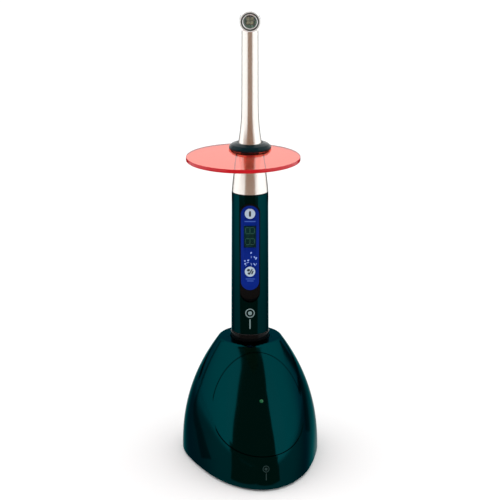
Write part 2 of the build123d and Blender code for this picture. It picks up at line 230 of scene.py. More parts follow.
def teal_coat(name, deep, bright, gloss):
    """A metallic teal under polish: fine flake, faint smears from wiping."""
    f = Finish(name, Metallic=1.0, Specular_Tint=rgb(0.16, 0.42, 0.44))
    flake = f.noise(5200.0, 1.0)
    cloud = f.noise(38.0, 3.0)
    f.feed(Base_Color=f.mix(flake * 0.5 + cloud * 0.5, rgb(*deep), rgb(*bright)))
    smear = f.noise(140.0, 4.0, 0.65, f.stretched((1.0, 1.0, 0.25)))
    return f.feed(Roughness=smear * 0.05 + gloss).material


def satin_metal(name, base, warm, gloss, metal=0.9):
    """Bead-blasted and anodised aluminium with a slight turned grain."""
    f = Finish(name, Metallic=metal)
    tone = f.noise(60.0, 3.0)
    f.feed(Base_Color=f.mix(tone, rgb(*base), rgb(*warm)))
    grain = f.noise(900.0, 2.0, 0.6, f.stretched((0.25, 0.25, 6.0)))
    f.feed(Roughness=grain * 0.1 + gloss)
    return f.bump(grain, 0.05, 0.00002).material


def moulded(name, base, gloss, texture=0.0, sheen=0.5):
    """Injection-moulded plastic: polished, or with a fine spark-eroded texture."""
    f = Finish(name, Specular_IOR_Level=sheen)
    tone = f.noise(55.0, 2.0)
    light = tuple(min(1.0, c * 1.2 + 0.0005) for c in base)
    f.feed(Base_Color=f.mix(tone, rgb(*base), rgb(*light)))
    wear = f.noise(260.0, 4.0, 0.6)
    f.feed(Roughness=wear * 0.08 + gloss)
    if texture:
        f.bump(f.noise(2600.0, 2.0), texture, 0.00004)
    return f.material


def rubber(name, base, gloss, sheen=0.4):
    """Soft silicone or rubber with a faint bloom."""
    f = Finish(name, Specular_IOR_Level=sheen)
    bloom = f.noise(90.0, 4.0, 0.6)
    pale = tuple(c * 1.4 + 0.002 for c in base)
    f.feed(Base_Color=f.mix(bloom * bloom, rgb(*base), rgb(*pale)))
    f.feed(Roughness=bloom * 0.14 + gloss)
    return f.bump(f.noise(1800.0, 3.0), 0.06, 0.00003).material


def plated(name, base, gloss):
    """Bright plated metal with hairline scratches."""
    f = Finish(name, Metallic=1.0)
    scratch = f.noise(700.0, 3.0, 0.7, f.stretched((1.0, 6.0, 1.0)))
    dull = tuple(c * 0.82 for c in base)
    f.feed(Base_Color=f.mix(scratch, rgb(*dull), rgb(*base)))
    return f.feed(Roughness=scratch * 0.15 + gloss).material


def clear(name, tint, gloss, ior=1.49):
    """A see-through moulding, tinted all through, with faint polishing marks."""
    f = Finish(name, Transmission_Weight=1.0, IOR=ior)
    cloud = f.noise(25.0, 2.0)
    deep = tuple(c * 0.94 for c in tint)
    f.feed(Base_Color=f.mix(cloud, rgb(*tint), rgb(*deep)))
    return f.feed(Roughness=f.noise(420.0, 4.0, 0.7) * 0.02 + gloss).material


def laminate():
    """Green solder mask over fine copper tracks."""
    f = Finish("board_laminate")
    grid = {"Vector": f.place, "Scale": 420.0, "Mortar Size": 0.012, "Brick Width": 0.8}
    tracks = f.node("ShaderNodeTexBrick", {}, grid, "Fac")
    f.feed(Base_Color=f.mix(tracks, rgb(0.01, 0.12, 0.05), rgb(0.05, 0.28, 0.12)))
    return f.feed(Roughness=f.noise(300.0) * 0.1 + 0.3).material


def glow(name, base, light, strength):
    """A lit lens: bright in the middle of its cell, softer between."""
    f = Finish(name, Emission_Strength=strength, Roughness=0.12)
    cells = f.noise(800.0, 2.0)
    f.feed(Base_Color=f.mix(cells, rgb(*base), rgb(*light)))
    half = tuple(c * 0.6 for c in light)
    return f.feed(Emission_Color=f.mix(cells, rgb(*half), rgb(*light))).material


DOCK_COAT = teal_coat("dock_teal", (0.0, 0.027, 0.031), (0.001, 0.037, 0.042), 0.085)
BARREL_COAT = teal_coat("barrel_teal", (0.0, 0.026, 0.03), (0.001, 0.034, 0.038), 0.08)
CHAMPAGNE = satin_metal("champagne_satin", (0.97, 0.94, 0.90), (0.94, 0.90, 0.85), 0.2, 0.97)
HEAD_STEEL = satin_metal("head_satin", (0.92, 0.94, 0.94), (0.86, 0.88, 0.88), 0.2, 0.5)
GLOSS_BLACK = moulded("gloss_black", (0.002, 0.0022, 0.0025), 0.08, sheen=0.15)
MATT_BLACK = moulded("matt_black", (0.012, 0.013, 0.015), 0.45, 0.3)
CHIP_BLACK = moulded("chip_black", (0.015, 0.015, 0.016), 0.4, 0.15)
PALE_KEY = moulded("pale_key", (0.34, 0.43, 0.52), 0.3, sheen=0.2)
KEY_INK = moulded("key_ink", (0.01, 0.012, 0.02), 0.3)
LABEL_BLUE = moulded("label_blue", (0.0004, 0.0125, 0.17), 0.35, 0.05, 0.04)
PRINT_PALE = moulded("print_pale", (0.26, 0.36, 0.70), 0.3, sheen=0.05)
PRINT_GREY = moulded("print_grey", (0.16, 0.22, 0.22), 0.35, sheen=0.05)
PRINT_DIM = moulded("print_dim", (0.016, 0.032, 0.03), 0.35, sheen=0.05)
PRINT_FAINT = moulded("print_faint", (0.04, 0.09, 0.36), 0.3, sheen=0.05)
PACKAGE_OLIVE = moulded("package_olive", (0.03, 0.04, 0.03), 0.35)
CELL_WRAP = moulded("cell_wrap", (0.05, 0.22, 0.45), 0.25)
SILICONE = rubber("silicone_navy", (0.001, 0.012, 0.016), 0.05, 0.1)
FOOT_RUBBER = rubber("foot_rubber", (0.012, 0.012, 0.013), 0.6)
STEEL = plated("plated_steel", (0.62, 0.62, 0.64), 0.25)
GOLD = plated("gold_plate", (0.86, 0.62, 0.28), 0.18)
COPPER = plated("bare_copper", (0.80, 0.42, 0.28), 0.3)
CHROME = plated("reflector_bright", (0.86, 0.88, 0.86), 0.06)
DARK_RING = plated("dark_ring", (0.16, 0.20, 0.19), 0.25)
SHIELD_RED = clear("shield_red", (1.0, 0.11, 0.055), 0.0, 1.3)
SHIELD_RIM = moulded("shield_rim", (0.42, 0.0, 0.006), 0.12)
LENS_CLEAR = clear("lens_clear", (0.97, 1.0, 0.98), 0.0)
WINDOW_TINT = clear("window_tint", (0.3, 0.6, 0.6), 0.02, 1.2)
SEGMENT_OFF = moulded("segment_off", (0.20, 0.24, 0.16), 0.4, sheen=0.05)
MODULE_DARK = moulded("module_dark", (0.003, 0.04, 0.038), 0.4, sheen=0.05)
DIE_PHOSPHOR = moulded("die_phosphor", (0.23, 0.20, 0.10), 0.3)
LAMINATE = laminate()
CHARGE_GREEN = glow("charge_green", (0.0, 0.02, 0.01), (0.01, 0.11, 0.04), 0.4)


# ---- Shape tools ----

def finish_mesh(name, mesh, materials, sharp=35.0):
    """Links a mesh as an object at the origin, smooth but for its sharp edges."""
    for material in materials:
        mesh.materials.append(material)
    mesh.shade_smooth()
    mesh.set_sharp_from_angle(angle=math.radians(sharp))
    made = bpy.data.objects.new(name, mesh)
    bpy.context.scene.collection.objects.link(made)
    return made


def from_bmesh(name, bm, matrix, materials, sharp=35.0):
    """A finished object from a bmesh in millimetres."""
    bmesh.ops.remove_doubles(bm, verts=bm.verts, dist=1e-5)
    bmesh.ops.recalc_face_normals(bm, faces=bm.faces)
    bm.transform(matrix @ Matrix.Scale(MM, 4))
    mesh = bpy.data.meshes.new(name)
    bm.to_mesh(mesh)
    bm.free()
    return finish_mesh(name, mesh, materials, sharp)


def rounded(corners, steps=5):
    """An outline from (x, y, radius) corners, each turned into an arc of that radius."""
    points = []
    count = len(corners)
    for i, (x, y, r) in enumerate(corners):
        here = Vector((x, y))
        if r <= 0 or i in (0, count - 1):
            points.append(here)
            continue
        back = Vector(corners[i - 1][:2]) - here
        ahead = Vector(corners[i + 1][:2]) - here
        turn = back.angle(ahead)
        cut = min(r / math.tan(turn / 2), back.length * 0.49, ahead.length * 0.49)
        a = here + back.normalized() * cut
        b = here + ahead.normalized() * cut
        for k in range(steps + 1):
            t = k / steps
            points.append(a * (1 - t) ** 2 + here * 2 * t * (1 - t) + b * t ** 2)
    return [(p.x, p.y) for p in points]


def lathe_bmesh(outline, segments=128, closed=True):
    """A solid of revolution about Z from (radius, height) points."""
    bm = bmesh.new()
    rings = []
    for r, z in outline:
        ring = []
        for k in range(segments if r > 1e-6 else 1):
            a = 2 * math.pi * k / segments
            ring.append(bm.verts.new((r * math.sin(a), -r * math.cos(a), z)))
        rings.append(ring)
    pairs = list(zip(rings, rings[1:]))
    if closed:
        pairs.append((rings[-1], rings[0]))
    for a, b in pairs:
        for k in range(segments):
            quad = [a[k % len(a)], a[(k + 1) % len(a)], b[(k + 1) % len(b)], b[k % len(b)]]
            quad = list(dict.fromkeys(quad))
            if len(quad) > 2:
                bm.faces.new(quad)
    return bm


def lathe(name, outline, matrix, material, segments=128):
    """A closed turned piece. An outline that starts and ends on the axis closes there."""
    on_axis = outline[0][0] < 1e-6 and outline[-1][0] < 1e-6
    bm = lathe_bmesh(outline, segments, not on_axis)
    return from_bmesh(name, bm, matrix, [material])


def stadium(width, z0, z1, steps=24):
    """A stadium's outline in X and Z."""
    r = width / 2
    points = []
    for centre, start in ((z1 - r, 0), (z0 + r, 180)):
        for k in range(steps + 1):
            a = math.radians(start + 180 * k / steps)
            points.append((r * math.cos(a), centre + r * math.sin(a)))
    return points


def circle(r, z, steps=48):
    """A circle's outline in X and Z."""
    turns = [2 * math.pi * k / steps for k in range(steps)]
    return [(r * math.cos(a), z + r * math.sin(a)) for a in turns]


def square(half, z):
    """A square's outline in X and Z."""
    return [(-half, z - half), (half, z - half), (half, z + half), (-half, z + half)]


def slab(outline, front, back, edge=0.0):
    """A plate in X and Z between two depths, its front edge chamfered."""
    bm = bmesh.new()
    centre = Vector((sum(p[0] for p in outline) / len(outline),
                     sum(p[1] for p in outline) / len(outline)))
    layers = [(back, 0.0), (front + edge, 0.0)]
    if edge:
        layers += [(front + edge * 0.3, edge * 0.3), (front, edge)]
    rings = []
    for y, inset in layers:
        ring = []
        for x, z in outline:
            arm = Vector((x, z)) - centre
            point = Vector((x, z)) - arm.normalized() * inset
            ring.append(bm.verts.new((point.x, y, point.y)))
        rings.append(ring)
    count = len(outline)
    for a, b in zip(rings, rings[1:]):
        for k in range(count):
            bm.faces.new((a[k], a[(k + 1) % count], b[(k + 1) % count], b[k]))
    bm.faces.new(rings[0])
    bm.faces.new(rings[-1])
    return bm


def carve(target, tool, operation="DIFFERENCE"):
    """Applies an exact boolean and drops the tool."""
    modifier = target.modifiers.new("cut", "BOOLEAN")
    modifier.operation = operation
    modifier.solver = "EXACT"
    modifier.object = tool
    apply_modifiers(target)
    bpy.data.objects.remove(tool)
    return target


def apply_modifiers(made):
    """Replaces an object's mesh by its evaluated one."""
    graph = bpy.context.evaluated_depsgraph_get()
    mesh = bpy.data.meshes.new_from_object(made.evaluated_get(graph))
    made.modifiers.clear()
    made.data = mesh
    return made


def true_normals(made, matrix, rule):
    """Gives a curved surface its exact normals. rule(point, face normal) works in millimetres."""
    mesh = made.data
    back = matrix.inverted()
    turn = matrix.to_3x3()
    normals = []
    for face in mesh.polygons:
        flat = back.to_3x3() @ face.normal
        for index in face.vertices:
            point = (back @ mesh.vertices[index].co) / MM
            normals.append(tuple((turn @ rule(point, flat)).normalized()))
    mesh.normals_split_custom_set(normals)
    return made


def settle(made, body, slot, *nodes):
    """Puts a piece on its body and hides the nodes that it stands for; the slot is not used."""
    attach(made, body)
    if nodes:
        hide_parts(*nodes)
    return made


def smooth_curve(knots, values):
    """A natural cubic through the values: numbers in, numbers out."""
    x = np.array(knots, float)
    y = np.array(values, float)
    n = len(x)
    h = np.diff(x)
    rows = np.eye(n)
    right = np.zeros(n)
    for i in range(1, n - 1):
        rows[i, i - 1:i + 2] = h[i - 1], 2 * (h[i - 1] + h[i]), h[i]
        right[i] = 6 * ((y[i + 1] - y[i]) / h[i] - (y[i] - y[i - 1]) / h[i - 1])
    bend = np.linalg.solve(rows, right)

    def value(at):
        i = int(min(max(np.searchsorted(x, at) - 1, 0), n - 2))
        a = (x[i + 1] - at) / h[i]
        b = (at - x[i]) / h[i]
        curve = ((a ** 3 - a) * bend[i] + (b ** 3 - b) * bend[i + 1]) * h[i] ** 2 / 6
        return float(a * y[i] + b * y[i + 1] + curve)

    return value


# ---- Repeats, by geometry nodes ----

def repeated(name, shape, points, material, matrix):
    """Copies of one small shape on a list of points, made one plain mesh."""
    tree = bpy.data.node_groups.new(name + "_repeat", "GeometryNodeTree")
    face = tree.interface
    face.new_socket("Geometry", in_out="INPUT", socket_type="NodeSocketGeometry")
    face.new_socket("Shape", in_out="INPUT", socket_type="NodeSocketObject")
    size = face.new_socket("Size", in_out="INPUT", socket_type="NodeSocketFloat")
    size.default_value = 1.0
    face.new_socket("Geometry", in_out="OUTPUT", socket_type="NodeSocketGeometry")
    start = tree.nodes.new("NodeGroupInput")
    source = tree.nodes.new("GeometryNodeObjectInfo")
    place = tree.nodes.new("GeometryNodeInstanceOnPoints")
    real = tree.nodes.new("GeometryNodeRealizeInstances")
    paint = tree.nodes.new("GeometryNodeSetMaterial")
    paint.inputs["Material"].default_value = material
    end = tree.nodes.new("NodeGroupOutput")
    links = tree.links
    links.new(start.outputs["Shape"], source.inputs["Object"])
    links.new(start.outputs["Geometry"], place.inputs["Points"])
    links.new(source.outputs["Geometry"], place.inputs["Instance"])
    links.new(start.outputs["Size"], place.inputs["Scale"])
    links.new(place.outputs["Instances"], real.inputs["Geometry"])
    links.new(real.outputs["Geometry"], paint.inputs["Geometry"])
    links.new(paint.outputs["Geometry"], end.inputs["Geometry"])
    cloud = bpy.data.meshes.new(name)
    cloud.from_pydata([matrix @ (Vector(p) * MM) for p in points], [], [])
    made = bpy.data.objects.new(name, cloud)
    bpy.context.scene.collection.objects.link(made)
    modifier = made.modifiers.new("repeat", "NODES")
    modifier.node_group = tree
    for socket in face.items_tree:
        if socket.name == "Shape" and socket.in_out == "INPUT":
            modifier[socket.identifier] = shape
    apply_modifiers(made)
    bpy.data.objects.remove(shape)
    made.data.shade_smooth()
    made.data.set_sharp_from_angle(angle=math.radians(35))
    return made


# ---- Dock ----

def plan_curve():
    """The dock's radius by degrees from the nose, mirrored and carried once round."""
    knots = [(-a, r) for a, r in PLAN[:0:-1]] + PLAN + [(360 - a, r) for a, r in PLAN[-2::-1]]
    return smooth_curve([a for a, _ in knots], [r for _, r in knots])


plan_radius = plan_curve()


def dock_radius(angle, z, inset=0.0):
    """The dock's radius about the wand's axis, at an angle from the nose and a height."""
    top = DOCK_TOP - inset
    top_r = TOP_R - 0.45 * inset
    degrees = math.degrees(angle)
    share = 1 - (min(max(z, 0), top) / top) ** SLOPE_POWER
    return top_r + (plan_radius(degrees) - inset - top_r) * share


def dock_normal(point):
    """The outward normal of the dock's side through a point."""
    angle = math.atan2(point.x, -point.y)
    step = 0.01
    r = dock_radius(angle, point.z)
    across = (dock_radius(angle + step, point.z) - dock_radius(angle - step, point.z)) / (2 * step)
    up = (dock_radius(angle, point.z + step) - dock_radius(angle, point.z - step)) / (2 * step)
    out = Vector((math.sin(angle), -math.cos(angle), 0))
    along = Vector((math.cos(angle), math.sin(angle), 0))
    return (out - along * (across / r) - Vector((0, 0, up))).normalized()


def dock_rule(point, flat):
    """Exact normals on the dock's outer slope, plain ones everywhere else."""
    angle = math.atan2(point.x, -point.y)
    side = DOCK_BOTTOM + 1.0 < point.z < DOCK_TOP - RIM_ROUND
    if side and abs(math.hypot(point.x, point.y) - dock_radius(angle, point.z)) < 0.05:
        exact = dock_normal(point)
        if exact.dot(flat) > 0.9:
            return exact
    return flat


def dock_wall(turns=288, levels=64):
    """The closed wall of the dock: slope, rounded rim, flat ring, socket hole and inside."""
    side_top = DOCK_TOP - RIM_ROUND
    inner_top = DOCK_TOP - WALL
    bm = bmesh.new()
    rings = []
    for k in range(turns):
        angle = 2 * math.pi * k / turns - math.pi
        outline = []
        foot = dock_radius(angle, DOCK_BOTTOM)
        for lift, inset in ((0.0, 0.9), (0.1, 0.4), (0.4, 0.1)):
            outline.append((foot - inset, DOCK_BOTTOM + lift))
        for i in range(levels + 1):
            z = DOCK_BOTTOM + 1.0 + (side_top - DOCK_BOTTOM - 1.0) * i / levels
            outline.append((dock_radius(angle, z), z))
        edge = Vector((dock_radius(angle, side_top), side_top))
        corner = Vector((TOP_R, DOCK_TOP))
        ring = Vector((TOP_R - RIM_ROUND, DOCK_TOP))
        for t in (0.2, 0.4, 0.6, 0.8, 1.0):
            outline.append(tuple(edge * (1 - t) ** 2 + corner * 2 * t * (1 - t) + ring * t ** 2))
        hole = LINER_R + 0.05
        outline += [(hole + 0.3, DOCK_TOP), (hole, DOCK_TOP - 0.3), (hole, inner_top)]
        for i in range(17):
            z = inner_top + (DOCK_BOTTOM - inner_top) * i / 16
            outline.append((dock_radius(angle, z, WALL), z))
        arm = Vector((math.sin(angle), -math.cos(angle), 0))
        rings.append([bm.verts.new(arm * r + Vector((0, 0, z))) for r, z in outline])
    count = len(rings[0])
    for k in range(turns):
        a, b = rings[k], rings[(k + 1) % turns]
        for i in range(count):
            j = (i + 1) % count
            bm.faces.new((a[i], b[i], b[j], a[j]))
    return bm


def fit_to_frame(bm, node):
    """Brings a dock wall to the frame's own width and length, in millimetres about the axis."""
    box_low = low(node) - AXIS
    box_high = high(node) - AXIS
    for index in (0, 1):
        most = max(v.co[index] for v in bm.verts)
        least = min(v.co[index] for v in bm.verts)
        for v in bm.verts:
            scale = box_high[index] / most if v.co[index] > 0 else box_low[index] / least
            v.co[index] *= scale


def oval_frame():
    """Where the oval inlay lies: its middle, its outward direction and its length."""
    share = [1 - (z / DOCK_TOP) ** SLOPE_POWER for z in (OVAL_TOP_Z, OVAL_BOTTOM_Z)]
    front = [-(TOP_R + (PLAN[0][1] - TOP_R) * s) for s in share]
    run = front[0] - front[1]
    rise = OVAL_TOP_Z - OVAL_BOTTOM_Z
    middle = Vector((0, sum(front) / 2, (OVAL_TOP_Z + OVAL_BOTTOM_Z) / 2))
    return middle, Vector((0, -rise, run)).normalized(), math.hypot(rise, run)


def oval_tool(name, width, length, start, end):
    """An elliptical bar across the front slope, in the dock's place."""
    middle, out, _ = oval_frame()
    up = out.cross(Vector((1, 0, 0)))
    bm = bmesh.new()
    rings = []
    for depth in (start, end):
        ring = []
        for k in range(160):
            a = 2 * math.pi * k / 160
            offset = Vector((1, 0, 0)) * (width * math.cos(a)) + up * (length * math.sin(a))
            ring.append(bm.verts.new(middle + out * depth + offset))
        rings.append(ring)
    for k in range(160):
        j = (k + 1) % 160
        bm.faces.new((rings[0][k], rings[0][j], rings[1][j], rings[1][k]))
    bm.faces.new(rings[0])
    bm.faces.new(rings[1])
    return from_bmesh(name, bm, DOCK, [DOCK_COAT])


def dock_pieces():
    _, _, length = oval_frame()
    wall = dock_wall()
    fit_to_frame(wall, "dock_shell")
    inlay_wall = wall.copy()
    shell = from_bmesh("dock_body", wall, DOCK, [DOCK_COAT])
    inlay = from_bmesh("oval_inlay", inlay_wall, DOCK, [DOCK_COAT])
    half = OVAL_WIDTH / 2
    carve(shell, oval_tool("oval_cut", half, length / 2, -14, 30))
    oval = oval_tool("oval_keep", half - SEAM, length / 2 - SEAM, -14, 30)
    carve(inlay, oval, "INTERSECT")
    carve(inlay, oval_tool("lamp_hole", INDICATOR_R, INDICATOR_R, -10, 40))
    settle(true_normals(shell, DOCK, dock_rule), "dock", "dock_lacquer", "dock_shell")
    settle(true_normals(inlay, DOCK, dock_rule), "dock", "dock_lacquer", "oval_cover")
    indicator()
    feet()


def indicator():
    """A small domed lamp lens, just under the inlay's skin."""
    middle, out, _ = oval_frame()
    place = (low("indicator_lens") + high("indicator_lens")) / 2 - AXIS
    depth = (place - middle).dot(out)
    turn = Vector((0, 0, 1)).rotation_difference(out).to_matrix().to_4x4()
    seat = DOCK @ Matrix.Translation((middle + out * depth) * MM) @ turn
    r = INDICATOR_R - 0.08
    dome = [(0, -0.9), (r, -0.9), (r, 0.35), (r * 0.85, 0.5), (r * 0.5, 0.62), (0, 0.66)]
    lens = lathe("charge_lamp", dome, seat, CHARGE_GREEN, 48)
    settle(lens, "dock", "indicator", "indicator_lens")


def feet():
    """Four moulded feet with two ring grooves each."""
    base = high("rubber_feet").z
    outline = rounded([(0, 0.5, 0), (1.2, 0.5, 0), (1.6, 0, 0.15), (2.7, 0, 0.15), (3.0, 0.5, 0),
                       (3.2, 0.5, 0), (3.5, 0, 0.15), (4.5, 0, 0.3), (5.0, 0.6, 0.3),
                       (5.0, base, 0), (0, base, 0)])
    shape = lathe("foot_shape", outline, Matrix(), FOOT_RUBBER, 64)
    spots = []
    for x, y in ((25, 27), (16, -56)):
        spots += [(x, y, 0), (-x, y, 0)]
    made = repeated("ring_feet", shape, spots, FOOT_RUBBER, DOCK)
    settle(made, "dock", "rubber", "rubber_feet")


# ---- Wand ----

def neck_outline():
    """The flared neck's outer line, from the joint up into the head."""
    curve = smooth_curve([z for _, z in NECK_CURVE], [r for r, _ in NECK_CURVE])
    base = NECK_CURVE[0][0]
    outline = [(0, NECK_LOW), (base - 0.25, NECK_LOW), (base - 0.04, NECK_LOW + 0.12)]
    for k in range(1, 61):
        z = NECK_LOW + 0.3 + (NECK_CURVE[-1][1] - NECK_LOW - 0.3) * k / 60
        outline.append((curve(z), z))
    outline += [(NECK_TOP_R, HEAD_Z - HEAD_R + 0.8), (0, HEAD_Z - HEAD_R + 0.8)]
    return outline


def on_head(outline, name, material, segments=96):
    """A turned piece about the head's own axis, its +Z out of the light window."""
    seat = WAND @ Matrix.Translation((0, 0, HEAD_Z * MM)) @ LIE_DOWN
    return lathe(name, outline, seat, material, segments)


def head_pieces():
    neck = lathe("neck_sleeve", neck_outline(), WAND, CHAMPAGNE, 160)
    settle(neck, "wand", "neck_metal", "neck_housing")
    front = HEAD_HALF
    seat = front - WINDOW_DEPTH
    shell = rounded([(0, -front, 0), (HEAD_R, -front, 1.4), (HEAD_R, front, 0.9),
                     (HEAD_BORE_R, front, 0.15), (HEAD_BORE_R, HEAD_FLOOR, 0), (0, HEAD_FLOOR, 0)])
    settle(on_head(shell, "head_shell", HEAD_STEEL, 128), "wand", "neck_metal")
    inner, outer = WINDOW_RING_IN, HEAD_BORE_R - 0.03
    ring = rounded([(inner, seat, 0), (outer, seat, 0), (outer, front + 0.2, 0.2),
                    (inner + 0.25, front + 0.2, 0.2), (inner, front - 0.4, 0.1),
                    (inner, seat + 0.05, 0)])
    settle(on_head(ring, "window_ring", DARK_RING), "wand", "black_gloss", "head_bezel")
    inner, outer = LIP_R
    lip = rounded([(inner, seat + 0.1, 0), (outer, seat + 0.1, 0), (outer, front + 0.05, 0.1),
                   (inner, front - 0.35, 0.1), (inner, seat + 0.15, 0)])
    settle(on_head(lip, "lens_lip", HEAD_STEEL), "wand", "chrome")
    dome = [(0, seat + 0.3), (LENS_SEAT_R, seat + 0.3)]
    for k in range(9):
        turn = math.radians(90 * k / 8)
        dome.append((LENS_SEAT_R * math.cos(turn), front - 0.9 + 0.95 * math.sin(turn)))
    lens = on_head(dome, "window_lens", LENS_CLEAR)
    settle(lens, "wand", "clear_lens", "front_lens")
    mouth, back = outer + 0.02, HEAD_BORE_R - 0.1
    cup = [(back, seat), (mouth, seat)]
    for k in range(1, 9):
        t = k / 8
        cup.append((mouth - 1.35 * t ** 0.6, seat - 3.4 * t))
    cup += [(back, seat - 3.4)]
    settle(on_head(cup, "reflector", CHROME), "wand", "chrome", "reflector_cup")
    emitter()


def emitter():
    """The light source: a square ceramic carrier with four phosphor dies."""
    middle = (low("led_dies") + high("led_dies")) / 2
    depth = ((middle - AXIS).dot(INWARD)) - 0.12
    ceramic = slab(square(PACKAGE_HALF, HEAD_Z), depth + 0.25, depth + 1.3, 0.15)
    carrier = from_bmesh("die_carrier", ceramic, WAND, [PACKAGE_OLIVE])
    settle(carrier, "wand", "key_white", "led_package")
    turn = Matrix.Rotation(WAND_YAW, 4, "Z")
    tile = slab(square(DIE_HALF, 0), 0.0, 0.24, 0.06)
    shape = from_bmesh("die_shape", tile, turn, [DIE_PHOSPHOR])
    steps = (-DIE_SPACING, DIE_SPACING)
    spots = [(x, depth, HEAD_Z + z) for x in steps for z in steps]
    dies = repeated("four_dies", shape, spots, DIE_PHOSPHOR, WAND)
    settle(dies, "wand", "die_yellow", "led_dies")


def cone_rule(point, flat):
    """Exact normals on the barrel's slightly tapered outside."""
    out = Vector((point.x, point.y, 0)).normalized()
    if out.dot(flat) > 0.9 and BARREL_LOW + 0.4 < point.z < BARREL_HIGH - 0.3:
        taper = (BARREL_R[0] - BARREL_R[1]) / (BARREL_HIGH - BARREL_LOW)
        return (out + Vector((0, 0, taper))).normalized()
    return flat


def barrel():
    """The handle tube with a flat-bottomed pocket for the panel."""
    outline = rounded([(BARREL_BORE_R, BARREL_LOW, 0), (BARREL_R[0], BARREL_LOW, 0.3),
                       (BARREL_R[1], BARREL_HIGH, 0.25), (BARREL_BORE_R, BARREL_HIGH, 0)])
    tube = lathe("handle_tube", outline, WAND, BARREL_COAT, 192)
    pocket = slab(stadium(POCKET_W, *POCKET_Z), *THROUGH)
    carve(tube, from_bmesh("pocket_tool", pocket, WAND, [GLOSS_BLACK]))
    true_normals(tube, WAND, cone_rule)
    settle(tube, "wand", "barrel_teal", "handle_barrel")
    ring = rounded([(BARREL_BORE_R, BARREL_HIGH, 0), (11.9, BARREL_HIGH, 0.1),
                    (11.9, NECK_LOW, 0.1), (BARREL_BORE_R, NECK_LOW, 0)])
    settle(lathe("joint_band", ring, WAND, FOOT_RUBBER), "wand", "rubber", "joint_ring")


def tail():
    """The gloss black tail housing, rounded at its foot."""
    foot = low("tail_housing").z
    spigot = BARREL_BORE_R - 0.08
    outline = rounded([(0, foot, 0), (TAIL_R, foot, 1.8), (TAIL_R, TAIL_HIGH, 0.35),
                       (spigot, TAIL_HIGH, 0), (spigot, TAIL_SPIGOT_TOP, 0.3),
                       (TAIL_BORE_R, TAIL_SPIGOT_TOP, 0), (TAIL_BORE_R, foot + 4, 0),
                       (0, foot + 4, 0)])
    body = lathe("tail_sleeve", outline, WAND, GLOSS_BLACK, 160)
    for r, depth in ((RING_OUT, RING_DEPTH), (PIN_HOLE_R, 5)):
        carve(body, foot_tool(foot, r, depth))
    settle(body, "tail_cap", "black_gloss", "tail_housing")
    floor = foot + RING_DEPTH + 0.02
    land = rounded([(0, foot, 0), (LAND_R, foot, 0.2), (LAND_R, floor, 0), (0, floor, 0)])
    island = lathe("tail_land", land, WAND, GLOSS_BLACK, 96)
    carve(island, foot_tool(foot, PIN_HOLE_R, 5))
    settle(island, "tail_cap", "black_gloss")


def foot_tool(foot, r, depth):
    """A round drill that goes up into the tail housing's foot."""
    outline = [(0, foot - 1), (r, foot - 1), (r, foot + depth), (0, foot + depth)]
    return lathe("foot_tool", outline, WAND, GLOSS_BLACK, 96)


def panel():
    """The black insert with its printed film, window and digits, and holes for two keys."""
    block = stadium(POCKET_W - 0.1, POCKET_Z[0] + 0.05, POCKET_Z[1] - 0.05)
    insert = from_bmesh("panel_insert", slab(block, FLAT_Y, -8.0, 0.2), WAND, [GLOSS_BLACK])
    sheet = slab(stadium(LABEL_W, *LABEL_Z), FLAT_Y - LABEL_T, FLAT_Y - 0.01, 0.08)
    film = from_bmesh("label_film", sheet, WAND, [LABEL_BLUE])
    for z in KEY_Z.values():
        for piece in (insert, film):
            hole = slab(circle(KEY_R + 0.06, z), *THROUGH)
            tool = from_bmesh("key_hole", hole, WAND, [GLOSS_BLACK])
            carve(piece, tool)
    z0, z1 = WINDOW_Z
    gap = 0.06
    frame_line = [(WINDOW_W / 2, z0), (WINDOW_W / 2, z1), (-WINDOW_W / 2, z1), (-WINDOW_W / 2, z0)]
    wide = [(x * (1 + gap / 4), z + (gap if z == z1 else -gap)) for x, z in frame_line]
    for piece in (insert, film):
        carve(piece, from_bmesh("window_hole", slab(wide, *THROUGH), WAND, [GLOSS_BLACK]))
    settle(insert, "wand", "black_gloss", "panel_bezel")
    settle(film, "wand", "label_blue", "panel_label")
    glass = slab(frame_line, FLAT_Y - LABEL_T - 0.04, FLAT_Y + 0.25, 0.08)
    pane = from_bmesh("window_pane", glass, WAND, [WINDOW_TINT])
    settle(pane, "wand", "window_dark", "display_window")
    back = slab(frame_line, FLAT_Y + 0.42, FLAT_Y + 1.2)
    settle(from_bmesh("digit_board", back, WAND, [MODULE_DARK]), "wand", "chip", "display_module")
    digits()
    prints()


def bar(bm, x, z, length, width, angle, front, thick):
    """One flat bar with pointed ends, added to a bmesh."""
    half = length / 2
    tip = width / 2
    shape = [(half, 0), (half - tip, tip), (-half + tip, tip), (-half, 0), (-half + tip, -tip),
             (half - tip, -tip)]
    turn = Matrix.Rotation(math.radians(angle), 2)
    rings = []
    for y in (front, front + thick):
        ring = []
        for point in shape:
            p = turn @ Vector(point)
            ring.append(bm.verts.new((x + p.x, y, z + p.y)))
        rings.append(ring)
    for k in range(6):
        j = (k + 1) % 6
        bm.faces.new((rings[0][k], rings[0][j], rings[1][j], rings[1][k]))
    bm.faces.new(rings[0])
    bm.faces.new(rings[1])


def digits():
    """Two seven-segment figures lying on their side, one above the other."""
    bm = bmesh.new()
    for z in (150.9, 158.4):
        for x in (-DIGIT_SPAN, 0.0, DIGIT_SPAN):
            bar(bm, x, z, 3.7, DIGIT_STROKE, 90, DIGIT_Y, 0.1)
        for x in (-DIGIT_SPAN / 2, DIGIT_SPAN / 2):
            for side in (-2.05, 2.05):
                bar(bm, x, z + side, 2.65, DIGIT_STROKE, 0, DIGIT_Y, 0.1)
    settle(from_bmesh("figure_bars", bm, WAND, [SEGMENT_OFF]), "wand", "chip")


